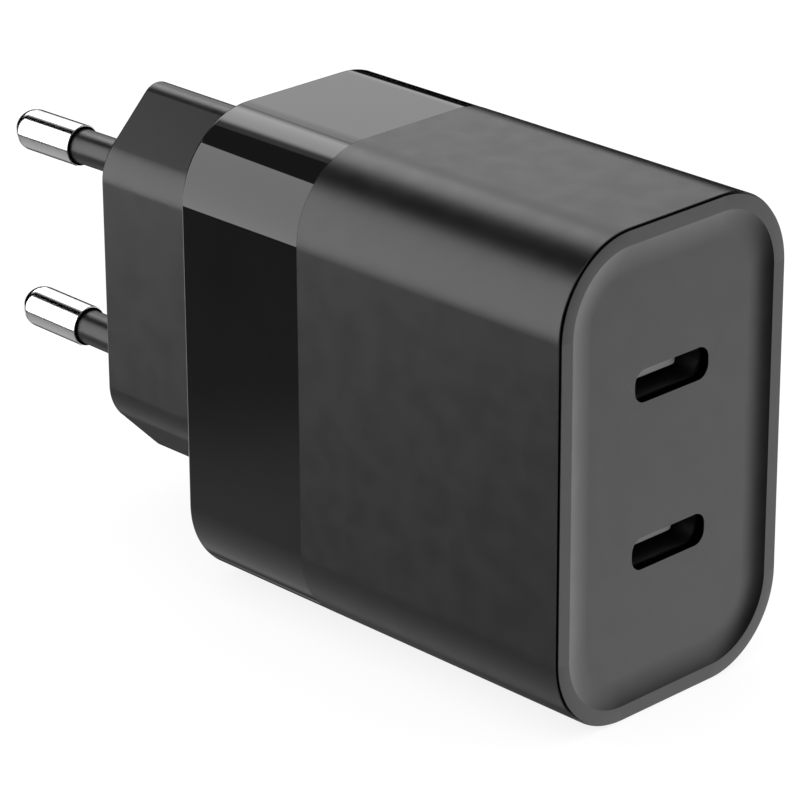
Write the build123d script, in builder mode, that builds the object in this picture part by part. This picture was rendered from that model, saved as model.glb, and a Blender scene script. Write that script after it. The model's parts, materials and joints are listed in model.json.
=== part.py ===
from build123d import *
import os
from math import sqrt

# Two-port USB-C wall charger with a fixed two-pin European plug. All sizes are millimetres.
# The origin is midway between the two pins on the plug's engagement face. +Y runs into the
# wall socket, -Y towards the port panel, and +Z is up. "Depth" is the distance behind the
# plug face, so a plane at a depth lies at y = -depth and extrudes towards the port panel.

# --- Plug, to the sizes of the unearthed European plug ---
PIN_PITCH = 18.6
PIN_TIP_PITCH = 18.0
PIN_LENGTH = 19.5
PIN_R = 2.0
PIN_CORE_R = 1.25
PIN_LIP_R = 1.86
PIN_LIP_DEPTH = 0.5
PIN_HEAD_R = 2.3
PIN_HEAD_THICKNESS = 1.0
COLLAR_R = 1.67
COLLAR_LENGTH = 10.7
PIN_TILT = (PIN_PITCH - PIN_TIP_PITCH) / 2 / PIN_LENGTH

STUB_HALF_WIDTH = 6.93
STUB_APEX = 18.86
STUB_SHOULDER_R = 4.6
STUB_APEX_R = 1.95
STUB_WALL = 1.8
STUB_FACE_WALL = 3.0
STUB_EDGE_R = 0.35
PIN_BOSS_R = 3.2
PIN_BOSS_END = 6.0
PIN_HOLE_CLEARANCE = 0.1

# --- Body shells ---
BODY_WIDTH = 27.25
BODY_HEIGHT = 44.2
BODY_CORNER_R = 8.0
WALL = 2.0
REAR_DEPTH = 18.65
BAND_LENGTH = 14.8
FRONT_DEPTH = 64.2
SEAM_DEPTH = REAR_DEPTH + BAND_LENGTH
REAR_EDGE_R = 0.45
WINDOW_CLEARANCE = 0.1
FLANGE_LAP = 1.5
FLANGE_THICKNESS = 1.5
LAP_LENGTH = 2.0
LAP_WALL = 1.0
LAP_GAP = 0.06
SEAM_GAP = 0.01

# --- Front cap: rim, dished recess, panel and skirt ---
CAP_INSET = 0.12
CAP_FLANGE = 0.18
CAP_GAP = 0.02
RIM_WIDTH = 1.34
RECESS_DEPTH = 0.45
RECESS_RUN = 2.6
FLOOR_LAP = 0.6
PANEL_THICKNESS = 1.5
SKIRT_CLEARANCE = 0.08
SKIRT_WALL = 1.1
SKIRT_DEPTH = 59.0
SHOULDER_INSET = 1.0
SHOULDER_LENGTH = 1.0
SHOULDER_GAP = 0.06
SLEEVE_EDGE_CHAMFER = 0.06

# --- USB-C ports ---
PORT_X = 0.22
PORT_Z = 0.08
PORT_PITCH = 15.13
SLOT_WIDTH = 8.9
SLOT_HEIGHT = 2.88
SLOT_CORNER_R = 1.15
PORT_LIP = 0.8
PORT_SHELL_WIDTH = 8.94
PORT_SHELL_HEIGHT = 3.16
PORT_SHELL_WALL = 0.3
PORT_SHELL_LENGTH = 7.3
PORT_POCKET_CLEARANCE = 0.15
TONGUE_WIDTH = 6.69
TONGUE_THICKNESS = 0.7
TONGUE_SETBACK = 1.25
TONGUE_CORNER_R = 1.2
TONGUE_BASE = 1.8
CONTACT_PITCH = 0.5
CONTACT_WIDTH = 0.26
CONTACT_THICKNESS = 0.06
CONTACT_LENGTH = 3.4
CONTACTS_PER_SIDE = 12

# --- Boards: the main board stands on edge, the port board lies behind the panel ---
BOARD_THICKNESS = 1.2
BOARD_FACE_X = -8.2
BOARD_START = 22.8
BOARD_END = 53.5
BOARD_HALF_HEIGHT = 18.0
RAIL_THICKNESS = 1.0
RAIL_GAP = 0.1
RAIL_START = 37.0
RAIL_END = 53.0
RAIL_HEIGHT = 3.2
RAIL_INNER_Z = 18.6
RAIL_OUTER_Z = 17.6
PORT_BOARD_WIDTH = 20.0
PORT_BOARD_HEIGHT = 36.0
PORT_BOARD_THICKNESS = 1.0
LEAD_R = 0.3
LEAD_HOLE_R = 0.4
LEAD_STUB = 0.7
STAND_OFF = 0.1

REAR_WALL_INSIDE = REAR_DEPTH + WALL
FLOOR_DEPTH = FRONT_DEPTH - RECESS_DEPTH
PANEL_BACK = FLOOR_DEPTH - PANEL_THICKNESS
PORT_SHELL_FRONT = FLOOR_DEPTH - PORT_LIP - 0.05
PORT_BOARD_FACE = PORT_SHELL_FRONT - PORT_SHELL_LENGTH
PORT_BOARD_BACK = PORT_BOARD_FACE - PORT_BOARD_THICKNESS
BOARD_BACK_X = BOARD_FACE_X - BOARD_THICKNESS
INNER_HALF_WIDTH = BODY_WIDTH / 2 - WALL
RAIL_INNER_X = BOARD_FACE_X + RAIL_GAP + RAIL_THICKNESS / 2
RAIL_OUTER_X = BOARD_BACK_X - RAIL_GAP - RAIL_THICKNESS / 2

# --- Places on the main board as (depth, z), and component sizes ---
FUSE_AT = (28.4, 13.2)
FUSE_SIZE = (4.2, 8.4, 7.4)
NTC_AT = (28.4, 6.3)
NTC_R = 2.6
NTC_THICKNESS = 2.4
CHOKE_AT = (28.2, -1.9)
CHOKE_OUTER_R = 4.5
CHOKE_INNER_R = 2.3
CHOKE_HEIGHT = 4.4
CHOKE_WIRE = 0.45
CHOKE_TURNS = 7
X_CAPACITOR_AT = (28.4, -12.6)
X_CAPACITOR_SIZE = (4.6, 9.6, 9.0)
BULK_DEPTH = 37.3
BULK_Z = (8.8, 0.2, -8.4)
BULK_R = 4.0
BULK_LENGTH = 15.0
BRIDGE_AT = (37.0, 14.9)
BRIDGE_SIZE = (6.4, 3.8, 2.4)
OPTOCOUPLER_AT = (37.0, -14.7)
OPTOCOUPLER_SIZE = (6.3, 4.2, 3.2)
TRANSFORMER_AT = (47.5, 4.6)
CORE_WIDTH = 16.0
CORE_THICKNESS = 5.0
CORE_BACK = 2.4
CORE_LEG = 2.0
CORE_CENTRE = 4.0
BOBBIN_DEPTH = 11.4
BOBBIN_WIDTH = 11.6
BOBBIN_WALL = 0.6
BOBBIN_FLANGE = 0.8
TRANSFORMER_LIFT = 2.0
Y_CAPACITOR_AT = (46.5, 15.4)
Y_CAPACITOR_R = 3.4
Y_CAPACITOR_THICKNESS = 2.6
OUTPUT_CAPACITOR_DEPTHS = (44.7, 50.4)
OUTPUT_CAPACITOR_Z = -7.4
OUTPUT_CAPACITOR_R = 2.7
OUTPUT_CAPACITOR_LENGTH = 9.0
INDUCTOR_AT = (45.0, -13.8)
INDUCTOR_R = 2.9
INDUCTOR_HEIGHT = 6.0
HEADER_AT = (52.0, -13.6)
HEADER_SIZE = (2.6, 6.2, 2.6)
HEADER_PINS = 3
HEADER_PITCH = 2.0
SPREADER_THICKNESS = 0.5
SHEET_THICKNESS = 0.3
CONTACT_STRIP = 0.4
STRIP_WIDTH = 2.4


# ---------------------------------------------------------------- shared planes and outlines
def behind(depth):
    """The plane across the charger at a depth behind the plug face."""
    return Plane.XZ.offset(depth)


def board_plane(lift=0.0):
    """The main board's component face, raised by lift. Its axes are Y and Z."""
    return Plane.YZ.offset(BOARD_FACE_X + lift)


def pin_plane(side, along=0.0):
    """A plane across one pin, along its slightly converging axis. side is 1 for the upper pin."""
    root = (0, 0, side * PIN_PITCH / 2)
    across = Plane(origin=root, x_dir=(1, 0, 0), z_dir=(0, 1, -side * PIN_TILT))
    return across.offset(along)


def body_outline(inset=0.0):
    """The body's rounded rectangle, drawn in by inset."""
    RectangleRounded(BODY_WIDTH - 2 * inset, BODY_HEIGHT - 2 * inset, BODY_CORNER_R - inset)


def stub_outline(inset=0.0):
    """The plug stub's long hexagon with 45 degree points, drawn in by inset."""
    half = STUB_HALF_WIDTH - inset
    apex = STUB_APEX - inset * sqrt(2)
    shoulder = apex - half
    corners = [(half, -shoulder), (half, shoulder), (0, apex)]
    corners += [(-x, -z) for x, z in corners]
    with BuildSketch() as outline:
        Polygon(*corners, align=None)
        shoulders = [v for v in outline.vertices() if abs(v.X) > half / 2]
        fillet(shoulders, STUB_SHOULDER_R - inset)
        points = [v for v in outline.vertices() if abs(v.X) < half / 4]
        fillet(points, max(STUB_APEX_R - inset, 0.3))
    return outline.sketch


def port_z(side):
    """The height of one port's centre. side is 1 for the upper port."""
    return PORT_Z + side * PORT_PITCH / 2


def port_centres():
    """The two ports' centres on a plane across the charger."""
    return Locations((PORT_X, port_z(1)), (PORT_X, port_z(-1)))


# ---------------------------------------------------------------- rear shell, gloss band
STUB_WINDOW = stub_outline(-WINDOW_CLEARANCE)

with BuildPart() as rear_shell:
    with BuildSketch(behind(REAR_DEPTH)):
        body_outline()
    extrude(amount=BAND_LENGTH - SEAM_GAP)
    fillet(rear_shell.edges().group_by(Axis.Y)[-1], REAR_EDGE_R)
    with BuildSketch(behind(SEAM_DEPTH - SEAM_GAP)):
        body_outline(LAP_WALL + LAP_GAP)
    extrude(amount=LAP_LENGTH)
    with BuildSketch(behind(REAR_WALL_INSIDE)):
        body_outline(WALL)
    extrude(amount=BODY_HEIGHT, mode=Mode.SUBTRACT)
    with BuildSketch(behind(REAR_DEPTH - WALL)):
        add(STUB_WINDOW)
    extrude(amount=3 * WALL, mode=Mode.SUBTRACT)


# ---------------------------------------------------------------- front sleeve, matte
SLEEVE_FRONT = FRONT_DEPTH - CAP_FLANGE - CAP_GAP
SHOULDER_BACK = SLEEVE_FRONT - SHOULDER_LENGTH + SHOULDER_GAP

with BuildPart() as front_sleeve:
    with BuildSketch(behind(SEAM_DEPTH)):
        body_outline()
    extrude(amount=SLEEVE_FRONT - SEAM_DEPTH)
    chamfer(front_sleeve.edges().group_by(Axis.Y)[0], SLEEVE_EDGE_CHAMFER)
    with BuildSketch(behind(SEAM_DEPTH)):
        body_outline(WALL)
    extrude(amount=SLEEVE_FRONT - SEAM_DEPTH, mode=Mode.SUBTRACT)
    with BuildSketch(behind(SEAM_DEPTH)):
        body_outline(LAP_WALL)
    extrude(amount=LAP_LENGTH + LAP_GAP, mode=Mode.SUBTRACT)
    with BuildSketch(behind(SLEEVE_FRONT - SHOULDER_LENGTH)):
        body_outline(SHOULDER_INSET)
    extrude(amount=SHOULDER_LENGTH, mode=Mode.SUBTRACT)
    # two pairs of rails grip the main board's long edges
    with BuildSketch(behind(RAIL_START)):
        for side in (1, -1):
            with Locations((RAIL_INNER_X, side * RAIL_INNER_Z)):
                Rectangle(RAIL_THICKNESS, RAIL_HEIGHT)
            with Locations((RAIL_OUTER_X, side * RAIL_OUTER_Z)):
                Rectangle(RAIL_THICKNESS, RAIL_HEIGHT / 2)
    extrude(amount=RAIL_END - RAIL_START)


# ---------------------------------------------------------------- front cap
RIM_INSET = CAP_INSET + RIM_WIDTH
RECESS_R = (RECESS_RUN**2 + RECESS_DEPTH**2) / (2 * RECESS_DEPTH)

with BuildSketch(Plane.XY) as recess_ramp:
    # section of the concave ramp beside the rim: an arc that ends level with the floor
    rim_x = BODY_WIDTH / 2 - RIM_INSET
    with BuildLine():
        RadiusArc((rim_x, -FRONT_DEPTH), (rim_x - RECESS_RUN, -FLOOR_DEPTH), RECESS_R)
        Polyline(
            (rim_x - RECESS_RUN, -FLOOR_DEPTH),
            (rim_x - RECESS_RUN - FLOOR_LAP, -FLOOR_DEPTH),
            (rim_x - RECESS_RUN - FLOOR_LAP, -FRONT_DEPTH),
            (rim_x, -FRONT_DEPTH),
        )
    make_face()

with BuildSketch(behind(FRONT_DEPTH)) as rim_edge:
    body_outline(RIM_INSET)

with BuildPart() as front_cap:
    with BuildSketch(behind(FRONT_DEPTH - CAP_FLANGE)):
        body_outline(CAP_INSET)
    extrude(amount=CAP_FLANGE)
    with BuildSketch(behind(SHOULDER_BACK)):
        body_outline(SHOULDER_INSET + SHOULDER_GAP)
    extrude(amount=FRONT_DEPTH - CAP_FLANGE - SHOULDER_BACK)
    with BuildSketch(behind(SKIRT_DEPTH)):
        body_outline(WALL + SKIRT_CLEARANCE)
    extrude(amount=SHOULDER_BACK - SKIRT_DEPTH)
    with BuildSketch(behind(SKIRT_DEPTH)):
        body_outline(WALL + SKIRT_CLEARANCE + SKIRT_WALL)
    extrude(amount=PANEL_BACK - SKIRT_DEPTH, mode=Mode.SUBTRACT)
    with BuildSketch(behind(FLOOR_DEPTH)):
        body_outline(RIM_INSET + RECESS_RUN + FLOOR_LAP / 2)
    extrude(amount=RECESS_DEPTH, mode=Mode.SUBTRACT)
    sweep(recess_ramp.sketch, path=rim_edge.sketch.faces()[0].outer_wire(), mode=Mode.SUBTRACT)
    with BuildSketch(behind(PANEL_BACK)):
        with port_centres():
            RectangleRounded(SLOT_WIDTH, SLOT_HEIGHT, SLOT_CORNER_R)
    extrude(amount=FRONT_DEPTH - PANEL_BACK, mode=Mode.SUBTRACT)
    with BuildSketch(behind(PANEL_BACK)):
        with port_centres():
            SlotOverall(
                PORT_SHELL_WIDTH + 2 * PORT_POCKET_CLEARANCE,
                PORT_SHELL_HEIGHT + 2 * PORT_POCKET_CLEARANCE,
            )
    extrude(amount=PANEL_THICKNESS - PORT_LIP, mode=Mode.SUBTRACT)


# ---------------------------------------------------------------- plug stub
with BuildPart() as plug_body:
    with BuildSketch(behind(0)):
        add(stub_outline())
    extrude(amount=REAR_WALL_INSIDE + FLANGE_THICKNESS)
    fillet(plug_body.edges().group_by(Axis.Y)[-1], STUB_EDGE_R)
    with BuildSketch(behind(REAR_WALL_INSIDE + LAP_GAP)):
        add(stub_outline(-FLANGE_LAP))
    extrude(amount=FLANGE_THICKNESS - LAP_GAP)
    with BuildSketch(behind(STUB_FACE_WALL)):
        add(stub_outline(STUB_WALL))
    extrude(amount=REAR_WALL_INSIDE + FLANGE_THICKNESS, mode=Mode.SUBTRACT)
    with BuildSketch(behind(STUB_FACE_WALL)):
        with Locations((0, PIN_PITCH / 2), (0, -PIN_PITCH / 2)):
            Circle(PIN_BOSS_R)
    extrude(amount=PIN_BOSS_END - STUB_FACE_WALL)
    for side in (1, -1):
        with BuildSketch(pin_plane(side, -PIN_BOSS_END - 1)):
            Circle(COLLAR_R + PIN_HOLE_CLEARANCE)
        extrude(amount=PIN_BOSS_END + 2, mode=Mode.SUBTRACT)


# ---------------------------------------------------------------- pins and their collars
PIN_TAIL = PIN_BOSS_END + LAP_GAP


def plug_pin(side):
    """A stepped pin: bright round-ended tip, thin core under the collar, head inside the stub."""
    with BuildPart() as pin:
        with BuildSketch(pin_plane(side, COLLAR_LENGTH)):
            Circle(PIN_R)
        extrude(amount=PIN_LENGTH - PIN_R - COLLAR_LENGTH)
        with Locations(pin_plane(side, PIN_LENGTH - PIN_R)):
            Sphere(PIN_R)
        with BuildSketch(pin_plane(side, COLLAR_LENGTH)):
            Circle(PIN_LIP_R)
        extrude(amount=PIN_LIP_DEPTH, mode=Mode.SUBTRACT)
        with BuildSketch(pin_plane(side, -PIN_TAIL)):
            Circle(PIN_CORE_R)
        extrude(amount=PIN_TAIL + COLLAR_LENGTH + PIN_LIP_DEPTH)
        with BuildSketch(pin_plane(side, -PIN_TAIL - PIN_HEAD_THICKNESS)):
            Circle(PIN_HEAD_R)
        extrude(amount=PIN_HEAD_THICKNESS)
    return pin


def pin_collar(side):
    """The insulating tube between a pin's bright tip and the plug face."""
    with BuildPart() as collar:
        with BuildSketch(pin_plane(side, -PIN_BOSS_END)):
            Circle(COLLAR_R)
            Circle(PIN_CORE_R + 0.01, mode=Mode.SUBTRACT)
        extrude(amount=PIN_BOSS_END + COLLAR_LENGTH + PIN_LIP_DEPTH - 0.01)
    return collar


plug_pin_upper = plug_pin(1)
plug_pin_lower = plug_pin(-1)
pin_collar_upper = pin_collar(1)
pin_collar_lower = pin_collar(-1)


# ---------------------------------------------------------------- strips from pins to board
STRIP_START = PIN_TAIL + PIN_HEAD_THICKNESS + LAP_GAP
STRIP_TURN = REAR_WALL_INSIDE + FLANGE_THICKNESS + 0.5
STRIP_FOOT_X = BOARD_FACE_X + STAND_OFF
STRIP_FOOT_LENGTH = 2.4


def pin_contact(side):
    """A bent strip: it bears on the pin's head, runs back, turns and lies on the board."""
    with BuildPart() as strip:
        with BuildSketch(Plane.XY.offset(side * PIN_PITCH / 2 - STRIP_WIDTH / 2)):
            with BuildLine():
                Polyline(
                    (PIN_HEAD_R - CONTACT_STRIP, -STRIP_START),
                    (-PIN_HEAD_R, -STRIP_START),
                    (-PIN_HEAD_R, -STRIP_TURN),
                    (STRIP_FOOT_X, -STRIP_TURN),
                    (STRIP_FOOT_X, -STRIP_TURN - STRIP_FOOT_LENGTH),
                    (STRIP_FOOT_X + CONTACT_STRIP, -STRIP_TURN - STRIP_FOOT_LENGTH),
                    (STRIP_FOOT_X + CONTACT_STRIP, -STRIP_TURN - CONTACT_STRIP),
                    (-PIN_HEAD_R + CONTACT_STRIP, -STRIP_TURN - CONTACT_STRIP),
                    (-PIN_HEAD_R + CONTACT_STRIP, -STRIP_START - CONTACT_STRIP),
                    (PIN_HEAD_R - CONTACT_STRIP, -STRIP_START - CONTACT_STRIP),
                    close=True,
                )
            make_face()
        extrude(amount=STRIP_WIDTH)
    return strip


pin_contact_upper = pin_contact(1)
pin_contact_lower = pin_contact(-1)


# ---------------------------------------------------------------- USB-C receptacles
with BuildSketch(Plane.XY) as port_bore:
    SlotOverall(PORT_SHELL_WIDTH - 2 * PORT_SHELL_WALL, PORT_SHELL_HEIGHT - 2 * PORT_SHELL_WALL)

TAB_LENGTH = 1.6
TAB_HEIGHT = 1.2
TONGUE_FRONT = PORT_SHELL_FRONT - TONGUE_SETBACK
TONGUE_ROOT = PORT_BOARD_FACE + TONGUE_BASE


def port_shell(side):
    """The stamped steel tube of one receptacle, with two tabs through the port board."""
    centre_z = port_z(side)
    with BuildPart() as shell:
        with BuildSketch(behind(PORT_BOARD_FACE + 0.02)):
            with Locations((PORT_X, centre_z)):
                SlotOverall(PORT_SHELL_WIDTH, PORT_SHELL_HEIGHT)
                add(port_bore.sketch, mode=Mode.SUBTRACT)
        extrude(amount=PORT_SHELL_LENGTH - 0.02)
        with BuildSketch(behind(PORT_BOARD_FACE + PORT_SHELL_WALL - TAB_LENGTH)):
            tab_x = (PORT_SHELL_WIDTH - PORT_SHELL_WALL) / 2
            with Locations((PORT_X - tab_x, centre_z), (PORT_X + tab_x, centre_z)):
                Rectangle(PORT_SHELL_WALL, TAB_HEIGHT)
        extrude(amount=TAB_LENGTH)
    return shell


def port_tongue(side):
    """The moulded insert of one receptacle: a base that fills the shell and a thin tongue."""
    centre_z = port_z(side)
    with BuildPart() as tongue:
        with BuildSketch(behind(PORT_BOARD_FACE + 0.02)):
            with Locations((PORT_X, centre_z)):
                SlotOverall(
                    PORT_SHELL_WIDTH - 2 * PORT_SHELL_WALL - 0.04,
                    PORT_SHELL_HEIGHT - 2 * PORT_SHELL_WALL - 0.04,
                )
        extrude(amount=TONGUE_BASE)
        with BuildSketch(behind(TONGUE_ROOT)):
            with Locations((PORT_X, centre_z)):
                Rectangle(TONGUE_WIDTH, TONGUE_THICKNESS)
        extrude(amount=TONGUE_FRONT - TONGUE_ROOT)
        fillet(tongue.edges().filter_by(Axis.Z).group_by(Axis.Y)[0], TONGUE_CORNER_R)
    return tongue


port_shell_upper = port_shell(1)
port_shell_lower = port_shell(-1)
port_tongue_upper = port_tongue(1)
port_tongue_lower = port_tongue(-1)

with BuildPart() as port_contacts:
    # rows of gold strips lie on both faces of each tongue
    row_z = TONGUE_THICKNESS / 2 + CONTACT_THICKNESS / 2
    with BuildSketch(behind(TONGUE_ROOT + 0.15)):
        for centre_z in (port_z(1), port_z(-1)):
            for face_z in (row_z, -row_z):
                with Locations((PORT_X, centre_z + face_z)):
                    with GridLocations(CONTACT_PITCH, 1, CONTACTS_PER_SIDE, 1):
                        Rectangle(CONTACT_WIDTH, CONTACT_THICKNESS)
    extrude(amount=CONTACT_LENGTH)


# ---------------------------------------------------------------- boards
def pair_along_z(at, spacing):
    """Two lead positions, spaced along Z about a place on the main board."""
    return [(at[0], at[1] - spacing / 2), (at[0], at[1] + spacing / 2)]


def pair_along_depth(at, spacing):
    """Two lead positions, spaced along the depth about a place on the main board."""
    return [(at[0] - spacing / 2, at[1]), (at[0] + spacing / 2, at[1])]


LEADS = pair_along_z(FUSE_AT, 5.0)
LEADS += pair_along_depth(NTC_AT, 2.5)
LEADS += pair_along_z(X_CAPACITOR_AT, 7.5)
LEADS += pair_along_depth(Y_CAPACITOR_AT, 4.0)
LEADS += pair_along_z(INDUCTOR_AT, 3.0)
for bulk_z in BULK_Z:
    LEADS += pair_along_z((BULK_DEPTH, bulk_z), 3.5)
for output_depth in OUTPUT_CAPACITOR_DEPTHS:
    LEADS += pair_along_z((output_depth, OUTPUT_CAPACITOR_Z), 2.0)
for choke_shift in (-3.3, 3.3):
    LEADS += pair_along_z((CHOKE_AT[0] + choke_shift, CHOKE_AT[1]), 2.6)

TRANSFORMER_RAIL_SHIFT = 4.5
TRANSFORMER_PINS = [
    (TRANSFORMER_AT[0] + shift, TRANSFORMER_AT[1] + z)
    for shift in (-TRANSFORMER_RAIL_SHIFT, TRANSFORMER_RAIL_SHIFT)
    for z in (-4.0, 0.0, 4.0)
]


def on_board(places):
    """Sketch locations on the main board for (depth, z) places."""
    return Locations(*[(-depth, z) for depth, z in places])


with BuildPart() as main_board:
    with BuildSketch(board_plane()):
        with Locations((-(BOARD_START + BOARD_END) / 2, 0)):
            RectangleRounded(BOARD_END - BOARD_START, 2 * BOARD_HALF_HEIGHT, 0.8)
        with on_board(LEADS + TRANSFORMER_PINS):
            Circle(LEAD_HOLE_R, mode=Mode.SUBTRACT)
    extrude(amount=-BOARD_THICKNESS)

with BuildPart() as component_leads:
    # tinned leads run through the board from the foot of each component
    with BuildSketch(board_plane(STAND_OFF / 2)):
        with on_board(LEADS):
            Circle(LEAD_R)
    extrude(amount=-BOARD_THICKNESS - LEAD_STUB)

HEADER_PIN_Z = [HEADER_AT[1] + (i - (HEADER_PINS - 1) / 2) * HEADER_PITCH for i in range(HEADER_PINS)]
HEADER_PIN_X = BOARD_FACE_X + HEADER_SIZE[2] / 2 + STAND_OFF
TAB_SLOT = 0.5

with BuildPart() as port_board:
    with BuildSketch(behind(PORT_BOARD_BACK)):
        RectangleRounded(PORT_BOARD_WIDTH, PORT_BOARD_HEIGHT, BODY_CORNER_R / 2)
        tab_x = (PORT_SHELL_WIDTH - PORT_SHELL_WALL) / 2
        with port_centres():
            with Locations((-tab_x, 0), (tab_x, 0)):
                Rectangle(TAB_SLOT, TAB_HEIGHT + 0.3, mode=Mode.SUBTRACT)
        with Locations(*[(HEADER_PIN_X, z) for z in HEADER_PIN_Z]):
            Circle(LEAD_HOLE_R, mode=Mode.SUBTRACT)
    extrude(amount=PORT_BOARD_THICKNESS)

with BuildPart() as board_header:
    with BuildSketch(board_plane(STAND_OFF)):
        with on_board([HEADER_AT]):
            Rectangle(HEADER_SIZE[0], HEADER_SIZE[1])
    extrude(amount=HEADER_SIZE[2])
    with BuildSketch(behind(HEADER_AT[0] - HEADER_SIZE[0])):
        with Locations(*[(HEADER_PIN_X, z) for z in HEADER_PIN_Z]):
            Circle(LEAD_R + 0.01)
    extrude(amount=2 * HEADER_SIZE[0], mode=Mode.SUBTRACT)

with BuildPart() as header_pins:
    with BuildSketch(behind(HEADER_AT[0] - HEADER_SIZE[0] / 2)):
        with Locations(*[(HEADER_PIN_X, z) for z in HEADER_PIN_Z]):
            Circle(LEAD_R)
    extrude(amount=PORT_BOARD_FACE - HEADER_AT[0] + HEADER_SIZE[0] / 2 + LEAD_STUB)


# ---------------------------------------------------------------- mains side components
def standing_block(at, size, lift=STAND_OFF, edge=0.4):
    """A component body on the main board: size is its depth, its Z size and its height."""
    with BuildPart() as block:
        with BuildSketch(board_plane(lift)):
            with on_board([at]):
                RectangleRounded(size[0], size[1], edge)
        extrude(amount=size[2])
        fillet(block.edges().group_by(Axis.X)[-1], edge / 2)
    return block


def standing_disc(at, radius, thickness):
    """A lacquered disc that stands on edge on the main board, facing along Z."""
    with BuildPart() as disc:
        with BuildSketch(Plane.XY.offset(at[1] - thickness / 2)):
            with Locations((BOARD_FACE_X + STAND_OFF + radius, -at[0])):
                Circle(radius)
        extrude(amount=thickness)
        fillet(disc.edges(), thickness / 3)
    return disc


fuse = standing_block(FUSE_AT, FUSE_SIZE)
x_capacitor = standing_block(X_CAPACITOR_AT, X_CAPACITOR_SIZE)
bridge_rectifier = standing_block(BRIDGE_AT, BRIDGE_SIZE)
optocoupler = standing_block(OPTOCOUPLER_AT, OPTOCOUPLER_SIZE)
ntc_thermistor = standing_disc(NTC_AT, NTC_R, NTC_THICKNESS)
y_capacitor = standing_disc(Y_CAPACITOR_AT, Y_CAPACITOR_R, Y_CAPACITOR_THICKNESS)

CHOKE_LIFT = 3 * CHOKE_WIRE
LOOP_GAP = 0.05

with BuildPart() as choke_core:
    with BuildSketch(board_plane(CHOKE_LIFT)):
        with on_board([CHOKE_AT]):
            Circle(CHOKE_OUTER_R - CHOKE_WIRE - LOOP_GAP)
            Circle(CHOKE_INNER_R, mode=Mode.SUBTRACT)
    extrude(amount=CHOKE_HEIGHT)

with BuildPart() as choke_windings:
    # each turn is a square wire loop around the ring; the two halves stay apart
    with BuildPart(mode=Mode.PRIVATE) as turn:
        mid_r = (CHOKE_OUTER_R - CHOKE_WIRE + CHOKE_INNER_R) / 2
        ring_width = CHOKE_OUTER_R - CHOKE_WIRE - CHOKE_INNER_R
        with BuildSketch(Plane.XZ):
            with Locations((mid_r, CHOKE_HEIGHT / 2)):
                Rectangle(ring_width + 2 * CHOKE_WIRE, CHOKE_HEIGHT + 2 * CHOKE_WIRE + 2 * LOOP_GAP)
                Rectangle(ring_width + LOOP_GAP, CHOKE_HEIGHT + 2 * LOOP_GAP, mode=Mode.SUBTRACT)
        extrude(amount=CHOKE_WIRE / 2, both=True)
    choke_centre = Plane(
        origin=(BOARD_FACE_X + CHOKE_LIFT, -CHOKE_AT[0], CHOKE_AT[1]), x_dir=(0, 1, 0), z_dir=(1, 0, 0)
    )
    with Locations(choke_centre):
        for start in (-60, 120):
            with PolarLocations(0, CHOKE_TURNS, start_angle=start, angular_range=120, endpoint=True):
                add(turn.part)

with BuildPart() as bulk_capacitor_cans:
    with BuildSketch(board_plane(STAND_OFF + 1.6)):
        with on_board([(BULK_DEPTH, z) for z in BULK_Z]):
            Circle(BULK_R - 0.2)
    extrude(amount=BULK_LENGTH - 1.6)
    fillet(bulk_capacitor_cans.edges().group_by(Axis.X)[-1], 0.6)

with BuildPart() as bulk_capacitor_seals:
    # rubber bungs close the cans' feet
    with BuildSketch(board_plane(STAND_OFF)):
        with on_board([(BULK_DEPTH, z) for z in BULK_Z]):
            Circle(BULK_R - 0.3)
    extrude(amount=1.55)

with BuildPart() as bulk_capacitor_sleeves:
    with BuildSketch(board_plane(STAND_OFF)):
        with on_board([(BULK_DEPTH, z) for z in BULK_Z]):
            Circle(BULK_R)
            Circle(BULK_R - 0.18, mode=Mode.SUBTRACT)
    extrude(amount=BULK_LENGTH - 0.5)


# ---------------------------------------------------------------- transformer
CORE_BASE = TRANSFORMER_LIFT + BOBBIN_FLANGE / 2
CORE_TOP_X = INNER_HALF_WIDTH - 2.2
CORE_HEIGHT = CORE_TOP_X - BOARD_FACE_X - CORE_BASE
WINDOW_HEIGHT = CORE_HEIGHT - 2 * CORE_BACK
SPLIT_GAP = 0.04

with BuildPart() as transformer_core:
    # two E halves meet face to face on their three legs
    with BuildSketch(behind(TRANSFORMER_AT[0] - CORE_THICKNESS / 2)):
        middle_x = CORE_TOP_X - CORE_HEIGHT / 2
        with Locations((middle_x, TRANSFORMER_AT[1])):
            Rectangle(CORE_HEIGHT, CORE_WIDTH)
            window_width = (CORE_WIDTH - CORE_CENTRE) / 2 - CORE_LEG
            window_shift = (CORE_CENTRE + window_width) / 2
            with Locations((0, window_shift), (0, -window_shift)):
                Rectangle(WINDOW_HEIGHT, window_width, mode=Mode.SUBTRACT)
            Rectangle(SPLIT_GAP, CORE_WIDTH, mode=Mode.SUBTRACT)
    extrude(amount=CORE_THICKNESS)

BOBBIN_BASE = CORE_BASE + CORE_BACK + 0.1
BOBBIN_HEIGHT = WINDOW_HEIGHT - 0.2
BOBBIN_BORE = (CORE_THICKNESS + 0.3, CORE_CENTRE + 0.3)
BOBBIN_TUBE = (BOBBIN_BORE[0] + 2 * BOBBIN_WALL, BOBBIN_BORE[1] + 2 * BOBBIN_WALL)
BOBBIN_RAIL = (2.2, 11.0)

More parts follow.
